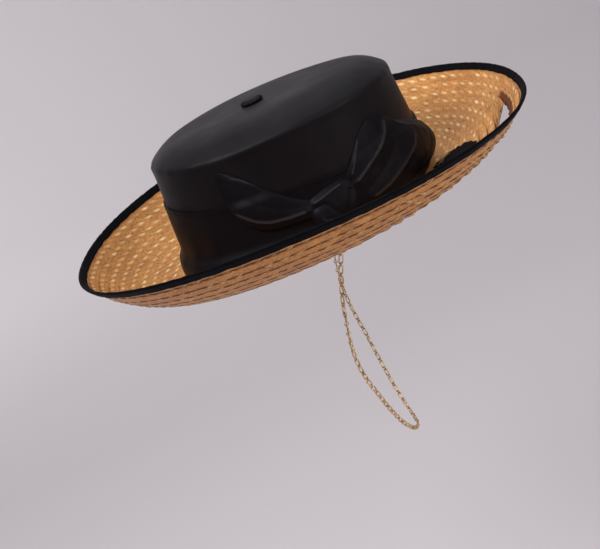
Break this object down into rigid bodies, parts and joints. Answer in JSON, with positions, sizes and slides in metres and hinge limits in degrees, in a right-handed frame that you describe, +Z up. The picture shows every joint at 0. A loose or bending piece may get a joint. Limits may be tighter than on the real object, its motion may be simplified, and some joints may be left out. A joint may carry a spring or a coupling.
{
  "type": "straw hat",
  "caption": "Straw hat with an upturned oval plait brim, bound rim, cloth-covered flat-topped crown, pleated band with a side bow, covered button and a gold chain under the chin.",
  "frame": {"origin": "the middle of the head opening, at the foot of the crown, where a head carries the hat", "axes": "+Z up the crown's axis, +X to the hat's front, +Y to the wearer's left"},
  "size_m": [0.3564, 0.3368, 0.3033],
  "materials": {
    "straw": "sewn plait of glossy golden straw",
    "crown_cloth": "fine black cloth with a soft grey sheen",
    "bow_cloth": "soft black silk, pleated",
    "ribbon": "matte black ribbon",
    "gold_chain": "worn gilt"
  },
  "bodies": {
    "root": {"brim": "straw", "brim_binding": "ribbon", "crown": "crown_cloth", "crown_button": "crown_cloth", "crown_band": "bow_cloth", "bow_knot": "bow_cloth", "bow_loop_back": "bow_cloth", "bow_loop_front": "bow_cloth", "chin_chain": "gold_chain", "chain_eye_right": "gold_chain", "chain_eye_left": "gold_chain"}
  },
  "joints": []
}
